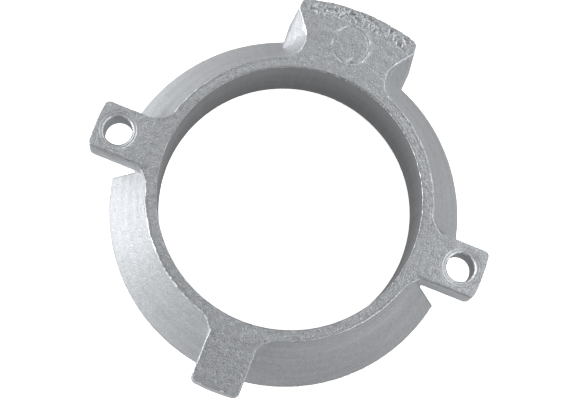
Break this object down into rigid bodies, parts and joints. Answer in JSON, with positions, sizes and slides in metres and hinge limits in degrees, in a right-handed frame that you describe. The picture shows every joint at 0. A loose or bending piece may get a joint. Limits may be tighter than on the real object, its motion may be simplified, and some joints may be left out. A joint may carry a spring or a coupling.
{
  "type": "toilet flange",
  "caption": "Cast flange with a straight pipe bore, a flared skirt, drilled bolt ears, a plain lug and a broad waisted tab.",
  "frame": {"origin": "on the pipe bore's axis, in the seating plane under the skirt", "axes": "+Z along the bore to the front face, X through both bolt ears, +Y to the broad tab and -Y to the plain lug"},
  "size_m": [0.1732, 0.1737, 0.036],
  "materials": {
    "cast_metal": "as-cast, dull and finely grained, with machined rings round the bolt holes"
  },
  "bodies": {
    "root": {"flange_casting": "cast_metal"}
  },
  "joints": []
}
